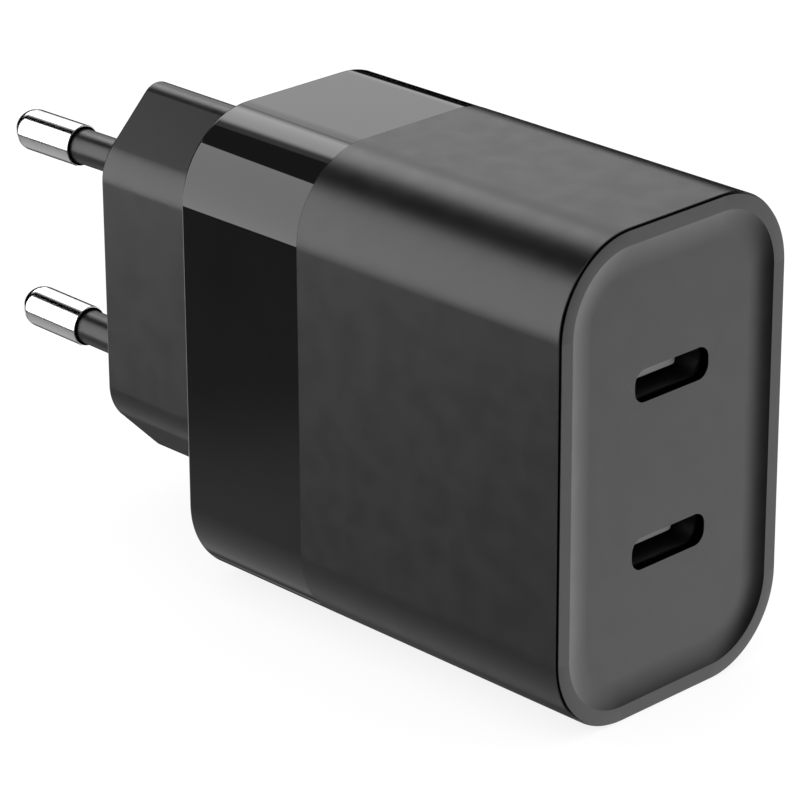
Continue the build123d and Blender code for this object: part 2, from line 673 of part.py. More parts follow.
with BuildPart() as transformer_bobbin:
    for lift in (BOBBIN_BASE, BOBBIN_BASE + BOBBIN_HEIGHT - BOBBIN_FLANGE):
        with BuildSketch(board_plane(lift)):
            with on_board([TRANSFORMER_AT]):
                Rectangle(BOBBIN_DEPTH, BOBBIN_WIDTH)
        extrude(amount=BOBBIN_FLANGE)
    with BuildSketch(board_plane(BOBBIN_BASE)):
        with on_board([TRANSFORMER_AT]):
            Rectangle(*BOBBIN_TUBE)
    extrude(amount=BOBBIN_HEIGHT)
    with BuildSketch(board_plane(BOBBIN_BASE)):
        with on_board([TRANSFORMER_AT]):
            Rectangle(*BOBBIN_BORE)
    extrude(amount=BOBBIN_HEIGHT, mode=Mode.SUBTRACT)
    # pin rails stand beside the core and carry the bobbin on the board
    rail_places = [(TRANSFORMER_AT[0] + s * TRANSFORMER_RAIL_SHIFT, TRANSFORMER_AT[1]) for s in (-1, 1)]
    with BuildSketch(board_plane(STAND_OFF)):
        with on_board(rail_places):
            Rectangle(*BOBBIN_RAIL)
        with on_board(TRANSFORMER_PINS):
            Circle(LEAD_R + 0.01, mode=Mode.SUBTRACT)
    extrude(amount=BOBBIN_BASE - STAND_OFF)

with BuildPart() as transformer_pins:
    with BuildSketch(board_plane(BOBBIN_BASE - 1.0)):
        with on_board(TRANSFORMER_PINS):
            Circle(LEAD_R)
    extrude(amount=-BOBBIN_BASE + 1.0 - BOARD_THICKNESS - LEAD_STUB)


def around_bobbin(inner_gap, thickness, trim):
    """A closed wrap around the bobbin's tube, inner_gap away from it and clear of both flanges."""
    inner = (BOBBIN_TUBE[0] + 2 * inner_gap, BOBBIN_TUBE[1] + 2 * inner_gap)
    with BuildPart() as wrap:
        with BuildSketch(board_plane(BOBBIN_BASE + BOBBIN_FLANGE + trim)):
            with on_board([TRANSFORMER_AT]):
                RectangleRounded(inner[0] + 2 * thickness, inner[1] + 2 * thickness, inner_gap + thickness)
                RectangleRounded(*inner, inner_gap, mode=Mode.SUBTRACT)
        extrude(amount=BOBBIN_HEIGHT - 2 * BOBBIN_FLANGE - 2 * trim)
    return wrap


PRIMARY_THICKNESS = 1.3
TAPE_THICKNESS = 0.1
SECONDARY_THICKNESS = 0.7
primary_winding = around_bobbin(0.03, PRIMARY_THICKNESS, 0.1)
winding_tape = around_bobbin(0.06 + PRIMARY_THICKNESS, TAPE_THICKNESS, 0.05)
secondary_winding = around_bobbin(0.09 + PRIMARY_THICKNESS + TAPE_THICKNESS, SECONDARY_THICKNESS, 0.4)


# ---------------------------------------------------------------- low voltage side components
with BuildPart() as output_capacitors:
    with BuildSketch(board_plane(STAND_OFF + 0.8)):
        with on_board([(d, OUTPUT_CAPACITOR_Z) for d in OUTPUT_CAPACITOR_DEPTHS]):
            Circle(OUTPUT_CAPACITOR_R)
    extrude(amount=OUTPUT_CAPACITOR_LENGTH)
    fillet(output_capacitors.edges().group_by(Axis.X)[-1], 0.5)

with BuildPart() as output_capacitor_bases:
    with BuildSketch(board_plane(STAND_OFF)):
        with on_board([(d, OUTPUT_CAPACITOR_Z) for d in OUTPUT_CAPACITOR_DEPTHS]):
            Circle(OUTPUT_CAPACITOR_R - 0.15)
    extrude(amount=0.75)

with BuildPart() as output_inductor:
    with BuildSketch(board_plane(STAND_OFF)):
        with on_board([INDUCTOR_AT]):
            Circle(INDUCTOR_R)
    extrude(amount=INDUCTOR_HEIGHT)
    with BuildSketch(board_plane(STAND_OFF + 1.2)):
        with on_board([INDUCTOR_AT]):
            Circle(INDUCTOR_R + 0.5)
            Circle(INDUCTOR_R - 0.7, mode=Mode.SUBTRACT)
    extrude(amount=INDUCTOR_HEIGHT - 2.4, mode=Mode.SUBTRACT)

with BuildPart() as inductor_winding:
    with BuildSketch(board_plane(STAND_OFF + 1.25)):
        with on_board([INDUCTOR_AT]):
            Circle(INDUCTOR_R - 0.1)
            Circle(INDUCTOR_R - 0.67, mode=Mode.SUBTRACT)
    extrude(amount=INDUCTOR_HEIGHT - 2.5)


# ---------------------------------------------------------------- chips behind the main board
def back_chips(places, size):
    """Flat chip bodies on the board's rear face: size is their depth, Z size and height."""
    with BuildPart() as chips:
        with BuildSketch(Plane.YZ.offset(BOARD_BACK_X - 0.02)):
            with on_board(places):
                Rectangle(size[0], size[1])
        extrude(amount=-size[2])
        chamfer(chips.edges().group_by(Axis.X)[0], 0.15)
    return chips


power_switch_chip = back_chips([(34.4, -3.0)], (4.9, 8.0, 1.3))
rectifier_chip = back_chips([(51.0, 12.3)], (4.0, 5.0, 1.0))
controller_chip = back_chips([(42.5, -13.5)], (4.0, 4.0, 0.9))
chip_components = back_chips([(27.0 + 2.4 * i, 9.8) for i in range(6)], (1.6, 0.8, 0.5))


# ---------------------------------------------------------------- heat path and insulation
SPREADER_INSIDE = INNER_HALF_WIDTH - SPREADER_THICKNESS - 0.05

with BuildPart() as heat_spreader:
    with BuildSketch(Plane.YZ.offset(SPREADER_INSIDE)):
        with Locations((-(BOARD_START + BOARD_END) / 2 - 1, 0)):
            RectangleRounded(BOARD_END - BOARD_START - 4, BODY_HEIGHT - 2 * BODY_CORNER_R, 1.0)
    extrude(amount=SPREADER_THICKNESS)

with BuildPart() as thermal_pad:
    with BuildSketch(Plane.YZ.offset(CORE_TOP_X + 0.02)):
        with on_board([TRANSFORMER_AT]):
            RectangleRounded(CORE_THICKNESS + 2, CORE_WIDTH - 2, 0.5)
    extrude(amount=SPREADER_INSIDE - CORE_TOP_X - 0.04)

with BuildPart() as insulation_sheet:
    with BuildSketch(Plane.YZ.offset(-INNER_HALF_WIDTH + 0.05)):
        with Locations((-(BOARD_START + BOARD_END) / 2 - 1, 0)):
            RectangleRounded(BOARD_END - BOARD_START - 4, BODY_HEIGHT - 2 * BODY_CORNER_R, 1.0)
    extrude(amount=SHEET_THICKNESS)


# ---------------------------------------------------------------- write each piece
PIECES = {
    "rear_shell": rear_shell,
    "front_sleeve": front_sleeve,
    "front_cap": front_cap,
    "plug_body": plug_body,
    "plug_pin_upper": plug_pin_upper,
    "plug_pin_lower": plug_pin_lower,
    "pin_collar_upper": pin_collar_upper,
    "pin_collar_lower": pin_collar_lower,
    "pin_contact_upper": pin_contact_upper,
    "pin_contact_lower": pin_contact_lower,
    "port_shell_upper": port_shell_upper,
    "port_shell_lower": port_shell_lower,
    "port_tongue_upper": port_tongue_upper,
    "port_tongue_lower": port_tongue_lower,
    "port_contacts": port_contacts,
    "main_board": main_board,
    "component_leads": component_leads,
    "port_board": port_board,
    "board_header": board_header,
    "header_pins": header_pins,
    "fuse": fuse,
    "ntc_thermistor": ntc_thermistor,
    "x_capacitor": x_capacitor,
    "y_capacitor": y_capacitor,
    "choke_core": choke_core,
    "choke_windings": choke_windings,
    "bridge_rectifier": bridge_rectifier,
    "bulk_capacitor_cans": bulk_capacitor_cans,
    "bulk_capacitor_seals": bulk_capacitor_seals,
    "bulk_capacitor_sleeves": bulk_capacitor_sleeves,
    "transformer_core": transformer_core,
    "transformer_bobbin": transformer_bobbin,
    "transformer_pins": transformer_pins,
    "primary_winding": primary_winding,
    "winding_tape": winding_tape,
    "secondary_winding": secondary_winding,
    "optocoupler": optocoupler,
    "output_capacitors": output_capacitors,
    "output_capacitor_bases": output_capacitor_bases,
    "output_inductor": output_inductor,
    "inductor_winding": inductor_winding,
    "power_switch_chip": power_switch_chip,
    "rectifier_chip": rectifier_chip,
    "controller_chip": controller_chip,
    "chip_components": chip_components,
    "heat_spreader": heat_spreader,
    "thermal_pad": thermal_pad,
    "insulation_sheet": insulation_sheet,
}

os.makedirs("parts", exist_ok=True)
for name, piece in PIECES.items():
    piece.part.label = name
    export_step(piece.part, f"parts/{name}.step")
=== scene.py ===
import json
import math

import bmesh
import bpy
from mathutils import Matrix, Vector


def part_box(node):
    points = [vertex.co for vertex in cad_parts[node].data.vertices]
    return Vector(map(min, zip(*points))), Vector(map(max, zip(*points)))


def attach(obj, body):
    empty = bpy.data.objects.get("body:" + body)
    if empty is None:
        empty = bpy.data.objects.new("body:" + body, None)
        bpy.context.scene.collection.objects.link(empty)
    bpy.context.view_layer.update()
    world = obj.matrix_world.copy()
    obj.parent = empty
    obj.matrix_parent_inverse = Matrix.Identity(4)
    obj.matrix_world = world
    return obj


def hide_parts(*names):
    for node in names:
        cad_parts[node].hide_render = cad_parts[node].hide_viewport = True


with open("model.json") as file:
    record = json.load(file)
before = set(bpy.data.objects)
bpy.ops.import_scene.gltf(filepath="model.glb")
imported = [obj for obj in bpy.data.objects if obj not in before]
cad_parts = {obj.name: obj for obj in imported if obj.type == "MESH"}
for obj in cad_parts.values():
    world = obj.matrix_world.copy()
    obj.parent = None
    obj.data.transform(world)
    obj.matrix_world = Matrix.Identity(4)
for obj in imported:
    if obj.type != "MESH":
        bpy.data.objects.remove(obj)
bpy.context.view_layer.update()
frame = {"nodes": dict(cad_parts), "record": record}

# Two-port USB-C wall charger. The visible shells, plug stub, pins and collars are rebuilt here
# as smooth meshes that stand for the CAD nodes; the parts inside keep their CAD meshes and get
# materials. Lengths below are millimetres and turn into metres when a mesh is made. Depth is
# the distance behind the plug face, so y = -depth, and places come from the CAD boxes.

MM = 0.001
MICRON = 0.000001
MERGE_DISTANCE = 0.0001 * MM
WHITE = (1.0, 1.0, 1.0, 1.0)


def cad_mm(node):
    """Lowest and highest corner of a CAD node in millimetres."""
    low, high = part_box(node)
    return low / MM, high / MM


# ---------------------------------------------------------------- places read from the frame
band_low, band_high = cad_mm("rear_shell")
sleeve_low, sleeve_high = cad_mm("front_sleeve")
cap_low, cap_high = cad_mm("front_cap")
stub_low, _ = cad_mm("plug_body")

HALF_WIDTH = sleeve_high.x
HALF_HEIGHT = sleeve_high.z
REAR_DEPTH = -band_high.y
TONGUE_DEPTH = -band_low.y
SEAM_DEPTH = -sleeve_high.y
SLEEVE_FRONT = -sleeve_low.y
FRONT_DEPTH = -cap_low.y
SKIRT_DEPTH = -cap_high.y
STUB_BACK = -stub_low.y
CAP_INSET = HALF_WIDTH - cap_high.x
BASE_Z = sleeve_low.z

# ---------------------------------------------------------------- sizes of the visible shapes
CORNER_R = 8.0
WALL = 2.0
LAP_WALL = 1.06
LAP_GAP = 0.06
LAP_END_GAP = 0.07
REAR_EDGE_R = 0.45
SEAM_GAP = 0.01
SEAM_EDGE = 0.01
SLEEVE_EDGE = 0.06

CAP_FLANGE = 0.18
SHOULDER_INSET = 1.0
SHOULDER_LENGTH = 1.0
SHOULDER_GAP = 0.06
RIM_EDGE_R = 0.07
RIM_WIDTH = 1.34
RECESS_DEPTH = 0.45
RECESS_RUN = 2.6
PANEL_THICKNESS = 1.5
SKIRT_INSET = WALL + 0.08
SKIRT_WALL = 1.1
PORT_LIP = 0.8
SLOT_SIZE = (8.9, 2.88, 1.15)  # width, height and corner radius
SLOT_EDGE_R = 0.05
POCKET_SIZE = (9.24, 3.46, 1.72)

STUB_HALF_WIDTH = 6.93
STUB_APEX = 18.86
STUB_SHOULDER_R = 4.6
STUB_APEX_R = 1.95
STUB_APEX_R_LEAST = 0.3
STUB_EDGE_R = 0.35
STUB_WALL = 1.8
STUB_FACE_WALL = 3.0
STUB_FLANGE_LAP = 1.5
WINDOW_CLEARANCE = 0.1

PIN_PITCH = 18.6
PIN_TIP_PITCH = 18.0
PIN_LENGTH = 19.5
PIN_TILT = (PIN_PITCH - PIN_TIP_PITCH) / 2 / PIN_LENGTH
PIN_R = 2.0
PIN_CORE_R = 1.25
PIN_HEAD_R = 2.3
PIN_HEAD_LENGTH = 1.0
PIN_HEAD_EDGE = 0.15
PIN_TAIL = 7.06
PIN_LIP_R = 1.86
PIN_LIP_DEPTH = 0.5
LIP_SHADOW_BELOW_SKIN = (0.07, 0.12)
LIP_SHADOW_PAST_LIP = (0.05, 0.15)
PIN_EDGE = 0.06
COLLAR_R = 1.67
COLLAR_LENGTH = 10.7
BOSS_R = 3.2
BOSS_END = 6.0
PIN_HOLE_R = COLLAR_R + 0.1
PIN_HOLE_EDGE = 0.15
COLLAR_GAP = 0.01

CORNER_STEPS = 40
EDGE_STEPS = 6
RAMP_STEPS = 18
DOME_STEPS = 24
CIRCLE_STEPS = 96
GUIDE_STEPS = 40


# ---------------------------------------------------------------- outlines in X and Z
def arc(centre, radius, start, end, steps):
    """Points of an arc, with angles in degrees."""
    angles = [math.radians(start + (end - start) * i / steps) for i in range(steps + 1)]
    return [(centre[0] + radius * math.cos(a), centre[1] + radius * math.sin(a)) for a in angles]


def rounded_outline(width, height, radius, steps, centre=(0.0, 0.0)):
    """A rounded rectangle."""
    points = []
    for quarter, (sx, sz) in enumerate(((1, 1), (-1, 1), (-1, -1), (1, -1))):
        at = (centre[0] + sx * (width / 2 - radius), centre[1] + sz * (height / 2 - radius))
        points += arc(at, radius, 90 * quarter, 90 * quarter + 90, steps)
    return points


def body_outline(inset):
    """The body's outline, drawn in by inset."""
    size = (2 * (HALF_WIDTH - inset), 2 * (HALF_HEIGHT - inset))
    return rounded_outline(*size, CORNER_R - inset, CORNER_STEPS)


def stub_outline(inset):
    """The plug stub's long hexagon with 45 degree points, drawn in by inset."""
    half = STUB_HALF_WIDTH - inset
    apex = STUB_APEX - inset * math.sqrt(2)
    shoulder_r = STUB_SHOULDER_R - inset
    apex_r = max(STUB_APEX_R - inset, STUB_APEX_R_LEAST)
    corners = [
        (half, apex - half, shoulder_r, 0, 45),
        (0, apex, apex_r, 45, 135),
        (-half, apex - half, shoulder_r, 135, 180),
        (-half, half - apex, shoulder_r, 180, 225),
        (0, -apex, apex_r, 225, 315),
        (half, half - apex, shoulder_r, 315, 360),
    ]
    points = []
    for x, z, radius, start, end in corners:
        middle = math.radians((start + end) / 2)
        back = radius / math.cos(math.radians((end - start) / 2))
        centre = (x - back * math.cos(middle), z - back * math.sin(middle))
        points += arc(centre, radius, start, end, CORNER_STEPS // 2)
    return points


def seen_at_angles(outline, guide):
    """The outline's points in the directions of a guide outline's points, both about the centre."""
    dense = []
    for (x0, z0), (x1, z1) in zip(outline, outline[1:] + outline[:1]):
        for step in range(GUIDE_STEPS):
            part = step / GUIDE_STEPS
            dense.append((x0 + (x1 - x0) * part, z0 + (z1 - z0) * part))
    polar = sorted((math.atan2(z, x), math.hypot(x, z)) for x, z in dense)
    (first_angle, first_r), (last_angle, last_r) = polar[0], polar[-1]
    polar = [(last_angle - math.tau, last_r)] + polar + [(first_angle + math.tau, first_r)]
    points = []
    for gx, gz in guide:
        angle = math.atan2(gz, gx)
        after = next(i for i, (a, _) in enumerate(polar) if a > angle)
        (a0, r0), (a1, r1) = polar[after - 1], polar[after]
        radius = r0 + (r1 - r0) * (angle - a0) / (a1 - a0)
        points.append((radius * math.cos(angle), radius * math.sin(angle)))
    return points


def at_depth(outline, depth):
    """An outline placed across the charger at a depth."""
    return [Vector((x, -depth, z)) for x, z in outline]


def edge_round(depth, inset, radius, to_front):
    """(depth, inset) pairs of a rounded outer edge that starts at inset and ends on a flat face.

    to_front says which way the flat face looks: the port side or the plug side."""
    pairs = []
    for i in range(EDGE_STEPS + 1):
        angle = math.radians(90 * i / EDGE_STEPS)
        along = radius * (1 - math.sin(angle))
        at = depth - along if to_front else depth + along
        pairs.append((at, inset + radius * (1 - math.cos(angle))))
    return pairs


# ---------------------------------------------------------------- mesh helpers
def add_ring(bm, ring):
    """New vertices for a ring of points in millimetres."""
    return [bm.verts.new(point * MM) for point in ring]


def skin(bm, rings, closed=False):
    """Quads between neighbouring rings of vertices; closed also joins the last to the first."""
    pairs = list(zip(rings, rings[1:]))
    if closed:
        pairs.append((rings[-1], rings[0]))
    for a, b in pairs:
        for i in range(len(a)):
            j = (i + 1) % len(a)
            bm.faces.new((a[i], a[j], b[j], b[i]))


def fill_flat(bm, loops):
    """Fills the flat area between an outer loop and the loops inside it."""
    edges = []
    for loop in loops:
        for a, b in zip(loop, loop[1:] + loop[:1]):
            edges.append(bm.edges.get((a, b)) or bm.edges.new((a, b)))
    bmesh.ops.triangle_fill(bm, use_beauty=True, use_dissolve=False, edges=edges)


def finish_piece(bm, name, material, nodes, sharp=32.0):
    """Turns a bmesh into a smooth-shaded piece that rides on the body and stands for CAD nodes."""
    bmesh.ops.remove_doubles(bm, verts=bm.verts, dist=MERGE_DISTANCE)
    bmesh.ops.recalc_face_normals(bm, faces=bm.faces)
    mesh = bpy.data.meshes.new(name)
    bm.to_mesh(mesh)
    bm.free()
    mesh.shade_smooth()
    mesh.set_sharp_from_angle(angle=math.radians(sharp))
    mesh.materials.append(material)
    piece = bpy.data.objects.new(name, mesh)
    bpy.context.scene.collection.objects.link(piece)
    weighted = piece.modifiers.new("weighted_normals", "WEIGHTED_NORMAL")
    weighted.keep_sharp = True
    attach(piece, "root")
    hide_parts(*nodes)
    return piece


# ---------------------------------------------------------------- visible pieces
def make_rear_band(material):
    """Gloss rear shell: a cup whose floor has the stub's window, with a lap tongue in front."""
    bm = bmesh.new()
    seam = SEAM_DEPTH - SEAM_GAP
    pairs = [(seam, SEAM_EDGE), (seam - SEAM_EDGE, 0.0)]
    pairs += edge_round(REAR_DEPTH, 0.0, REAR_EDGE_R, to_front=False)
    rings = [at_depth(body_outline(inset), depth) for depth, inset in pairs]
    guide = body_outline(REAR_EDGE_R)
    window = seen_at_angles(stub_outline(-WINDOW_CLEARANCE), guide)
    rings.append(at_depth(window, REAR_DEPTH))
    rings.append(at_depth(window, REAR_DEPTH + WALL))
    rings.append(at_depth(body_outline(WALL), REAR_DEPTH + WALL))
    rings.append(at_depth(body_outline(WALL), TONGUE_DEPTH))
    rings.append(at_depth(body_outline(LAP_WALL), TONGUE_DEPTH))
    rings.append(at_depth(body_outline(LAP_WALL), seam))
    skin(bm, [add_ring(bm, ring) for ring in rings], closed=True)
    return finish_piece(bm, "gloss_rear_band", material, ["rear_shell"])


def make_front_sleeve(material):
    """Matte sleeve: an open tube with a rebate behind and a small chamfer in front."""
    bm = bmesh.new()
    rebate_end = TONGUE_DEPTH + LAP_END_GAP
    pairs = [
        (SEAM_DEPTH, SEAM_EDGE),
        (SEAM_DEPTH + SEAM_EDGE, 0.0),
        (SLEEVE_FRONT - SLEEVE_EDGE, 0.0),
        (SLEEVE_FRONT, SLEEVE_EDGE),
        (SLEEVE_FRONT, SHOULDER_INSET),
        (SLEEVE_FRONT - SHOULDER_LENGTH, SHOULDER_INSET),
        (SLEEVE_FRONT - SHOULDER_LENGTH, WALL),
        (rebate_end, WALL),
        (rebate_end, LAP_WALL - LAP_GAP),
        (SEAM_DEPTH, LAP_WALL - LAP_GAP),
    ]
    rings = [add_ring(bm, at_depth(body_outline(inset), depth)) for depth, inset in pairs]
    skin(bm, rings, closed=True)
    return finish_piece(bm, "matte_front_sleeve", material, ["front_sleeve"])


def port_centres():
    """Centres of the two port slots, from the receptacle shells."""
    centres = []
    for node in ("port_shell_upper", "port_shell_lower"):
        low, high = cad_mm(node)
        centres.append(((low.x + high.x) / 2, (low.z + high.z) / 2))
    return centres


def make_front_cap(material):
    """Front cap: rim, concave ramp, flat panel with two slots, and the skirt behind."""
    bm = bmesh.new()
    rim_inset = CAP_INSET + RIM_WIDTH
    floor_depth = FRONT_DEPTH - RECESS_DEPTH
    panel_back = floor_depth - PANEL_THICKNESS
    flange_back = FRONT_DEPTH - CAP_FLANGE
    ramp_r = (RECESS_RUN**2 + RECESS_DEPTH**2) / (2 * RECESS_DEPTH)
    steepest = math.asin(RECESS_RUN / ramp_r)

    front = [(flange_back, CAP_INSET)] + edge_round(FRONT_DEPTH, CAP_INSET, RIM_EDGE_R, to_front=True)
    for i in range(RAMP_STEPS + 1):
        angle = steepest * (1 - i / RAMP_STEPS)
        rise = ramp_r * (1 - math.cos(angle))
        front.append((floor_depth + rise, rim_inset + RECESS_RUN - ramp_r * math.sin(angle)))
    shoulder_back = SLEEVE_FRONT - SHOULDER_LENGTH + SHOULDER_GAP
    back = [
        (flange_back, CAP_INSET),
        (flange_back, SHOULDER_INSET + SHOULDER_GAP),
        (shoulder_back, SHOULDER_INSET + SHOULDER_GAP),
        (shoulder_back, SKIRT_INSET),
        (SKIRT_DEPTH, SKIRT_INSET),
        (SKIRT_DEPTH, SKIRT_INSET + SKIRT_WALL),
        (panel_back, SKIRT_INSET + SKIRT_WALL),
    ]
    front_rings = [add_ring(bm, at_depth(body_outline(inset), depth)) for depth, inset in front]
    back_rings = [front_rings[0]]
    back_rings += [add_ring(bm, at_depth(body_outline(inset), depth)) for depth, inset in back[1:]]
    skin(bm, front_rings)
    skin(bm, back_rings)

    front_holes, back_holes = [], []
    for centre in port_centres():
        slot_rings = []
        for i in range(EDGE_STEPS + 1):
            angle = math.radians(90 * i / EDGE_STEPS)
            grow = SLOT_EDGE_R * (1 - math.sin(angle))
            width, height, radius = SLOT_SIZE
            size = (width + 2 * grow, height + 2 * grow, radius + grow)
            outline = rounded_outline(*size, CORNER_STEPS // 4, centre)
            depth = floor_depth - SLOT_EDGE_R * (1 - math.cos(angle))
            slot_rings.append(add_ring(bm, at_depth(outline, depth)))
        outline = rounded_outline(*SLOT_SIZE, CORNER_STEPS // 4, centre)
        slot_rings.append(add_ring(bm, at_depth(outline, floor_depth - PORT_LIP)))
        pocket = rounded_outline(*POCKET_SIZE, CORNER_STEPS // 4, centre)
        slot_rings.append(add_ring(bm, at_depth(pocket, floor_depth - PORT_LIP)))
        slot_rings.append(add_ring(bm, at_depth(pocket, panel_back)))
        skin(bm, slot_rings)
        front_holes.append(slot_rings[0])
        back_holes.append(slot_rings[-1])
    fill_flat(bm, [front_rings[-1]] + front_holes)
    fill_flat(bm, [back_rings[-1]] + back_holes)
    nodes = ["front_cap"]
    return finish_piece(bm, "dished_front_cap", material, nodes, sharp=15.0)


def pin_point(side, along, radius, angle):
    """A point beside a pin's slightly converging axis. along is measured out of the plug face."""
    length = math.hypot(1.0, PIN_TILT)
    axis = Vector((0.0, 1.0, -side * PIN_TILT)) / length
    across = Vector((0.0, side * PIN_TILT, 1.0)) / length
    root = Vector((0.0, 0.0, side * PIN_PITCH / 2))
    turn = Vector((math.cos(angle), 0.0, 0.0)) + across * math.sin(angle)
    return root + axis * along + turn * radius


def pin_ring(side, along, radius):
    """A circle of points around a pin's axis."""
    return [pin_point(side, along, radius, math.tau * i / CIRCLE_STEPS) for i in range(CIRCLE_STEPS)]


def make_plug_stub(material):
    """Hexagonal plug stub with two pin holes in its face, hollow, with a flange behind."""
    bm = bmesh.new()
    lap = REAR_DEPTH + WALL + LAP_GAP
    pairs = edge_round(0.0, 0.0, STUB_EDGE_R, to_front=False)[::-1]
    pairs += [(lap, 0.0), (lap, -STUB_FLANGE_LAP), (STUB_BACK, -STUB_FLANGE_LAP)]
    pairs += [(STUB_BACK, STUB_WALL), (STUB_FACE_WALL, STUB_WALL)]
    rings = [add_ring(bm, at_depth(stub_outline(inset), depth)) for depth, inset in pairs]
    skin(bm, rings)
    outer_holes, inner_holes = [], []
    for side in (1, -1):
        stations = [
            (0.0, PIN_HOLE_R + PIN_HOLE_EDGE),
            (-PIN_HOLE_EDGE, PIN_HOLE_R),
            (-BOSS_END, PIN_HOLE_R),
            (-BOSS_END, BOSS_R),
            (-STUB_FACE_WALL, BOSS_R),
        ]
        hole = []
        for along, radius in stations:
            ring = pin_ring(side, along, radius)
            if along in (0.0, -STUB_FACE_WALL):
                for point in ring:
                    point.y = along
            hole.append(add_ring(bm, ring))
        skin(bm, hole)
        outer_holes.append(hole[0])
        inner_holes.append(hole[-1])
    fill_flat(bm, [rings[0]] + outer_holes)
    fill_flat(bm, [rings[-1]] + inner_holes)
    return finish_piece(bm, "plug_stub", material, ["plug_body"], sharp=25.0)


def make_pin(side, name, node, material):
    """A stepped pin: head, thin core, lipped bright tip with a round end."""
    tip = COLLAR_LENGTH
    head_end = PIN_HEAD_LENGTH - PIN_TAIL
    profile = [
        (-PIN_TAIL, PIN_HEAD_R - PIN_HEAD_EDGE),
        (-PIN_TAIL + PIN_HEAD_EDGE, PIN_HEAD_R),
        (head_end - PIN_HEAD_EDGE, PIN_HEAD_R),
        (head_end, PIN_HEAD_R - PIN_HEAD_EDGE),
        (head_end, PIN_CORE_R),
        (tip + PIN_LIP_DEPTH, PIN_CORE_R),
        (tip + PIN_LIP_DEPTH, PIN_LIP_R - PIN_EDGE),
        (tip + PIN_LIP_DEPTH - PIN_EDGE, PIN_LIP_R),
        (tip + PIN_EDGE / 2, PIN_LIP_R),
        (tip, PIN_LIP_R + PIN_EDGE / 2),
        (tip, PIN_R - PIN_EDGE),
        (tip + PIN_EDGE / 3, PIN_R - PIN_EDGE / 3),
        (tip + PIN_EDGE, PIN_R),
    ]
    for i in range(DOME_STEPS):
        angle = math.radians(90 * i / DOME_STEPS)
        profile.append((PIN_LENGTH - PIN_R + PIN_R * math.sin(angle), PIN_R * math.cos(angle)))
    bm = bmesh.new()
    rings = [add_ring(bm, pin_ring(side, along, radius)) for along, radius in profile]
    skin(bm, rings)
    for ring, along in ((rings[0], -PIN_TAIL), (rings[-1], PIN_LENGTH)):
        centre = bm.verts.new(pin_point(side, along, 0.0, 0.0) * MM)
        for a, b in zip(ring, ring[1:] + ring[:1]):
            bm.faces.new((a, b, centre))
    return finish_piece(bm, name, material, [node], sharp=30.0)


def make_collar(side, name, node, material):
    """The thin insulating tube between a bright tip and the plug face."""
    end = COLLAR_LENGTH + PIN_LIP_DEPTH - COLLAR_GAP
    bore_r = PIN_CORE_R + COLLAR_GAP
    profile = [(-BOSS_END, bore_r), (-BOSS_END, COLLAR_R), (end, COLLAR_R), (end, bore_r)]
    bm = bmesh.new()
    skin(bm, [add_ring(bm, pin_ring(side, along, radius)) for along, radius in profile], closed=True)
    return finish_piece(bm, name, material, [node])


# ---------------------------------------------------------------- material building blocks
# Noise scales are in cycles a metre and the width of wear is in metres.
PLASTIC_IOR = 1.5
# SHADOW_TINT is the near-black colour of painted shade.
SHADOW_TINT = (0.0004, 0.0004, 0.0004, 1.0)
BRUSHED_ALONG_X = (0.08, 1.0, 1.0)
BRUSHED_ALONG_Y = (1.0, 0.06, 1.0)
MOTTLE_SCALE = 160.0
CLOUD_SCALE = 420.0
WEAR_SCALE = 900.0
WEAR_WIDTH = 0.0002
WEAR_LIGHTENING = 2.2
WEAR_POLISH = 0.4


class Graph:
    """A small wrapper that adds and links shader nodes."""

    def __init__(self, tree):
        self.tree = tree
        tree.nodes.clear()

    def add(self, kind, values=None, links=None, **settings):
        """Adds a node, sets its properties and input values, and links inputs to sockets."""
        node = self.tree.nodes.new(kind)
        for key, value in settings.items():
            setattr(node, key, value)
        for key, value in (values or {}).items():
            node.inputs[key].default_value = value
        for key, socket in (links or {}).items():
            self.tree.links.new(socket, node.inputs[key])
        return node

    def math(self, operation, a, b=None):
        """A math node whose inputs are sockets or numbers."""
        node = self.tree.nodes.new("ShaderNodeMath")
        node.operation = operation
        for index, value in enumerate((a, b)):
            if value is None:
                continue
            if isinstance(value, (int, float)):
                node.inputs[index].default_value = value
            else:
                self.tree.links.new(value, node.inputs[index])
        return node.outputs[0]

    def ramp(self, value, low, high, out_low=0.0, out_high=1.0):
        """A smooth step of value between low and high."""
        node = self.add(
            "ShaderNodeMapRange",
            {"From Min": low, "From Max": high, "To Min": out_low, "To Max": out_high},
            {"Value": value},
            interpolation_type="SMOOTHSTEP",
        )
        return node.outputs["Result"]

    def noise(self, coordinates, scale, detail=2.0):
        """Noise of a given scale in cycles a metre."""
        values = {"Scale": scale, "Detail": detail, "Roughness": 0.5}
        return self.add("ShaderNodeTexNoise", values, {"Vector": coordinates}).outputs["Fac"]

    def split(self, vector):
        """A vector's X, Y and Z sockets."""
        return self.add("ShaderNodeSeparateXYZ", links={0: vector}).outputs

    def mix_colour(self, factor, a, b):
        """Blends two colours, each a socket or a tuple. Inputs 6 and 7 take colours."""
        node = self.add("ShaderNodeMix", data_type="RGBA")
        for index, value in ((0, factor), (6, a), (7, b)):
            if isinstance(value, (int, float, tuple)):
                node.inputs[index].default_value = value
            else:
                self.tree.links.new(value, node.inputs[index])
        return node.outputs[2]


def grey(level):
    """A neutral colour."""
    return (level, level, level)


def shade(colour, factor):
    """A colour multiplied by a factor, as RGBA."""
    return tuple(min(channel * factor, 1.0) for channel in colour[:3]) + (1.0,)


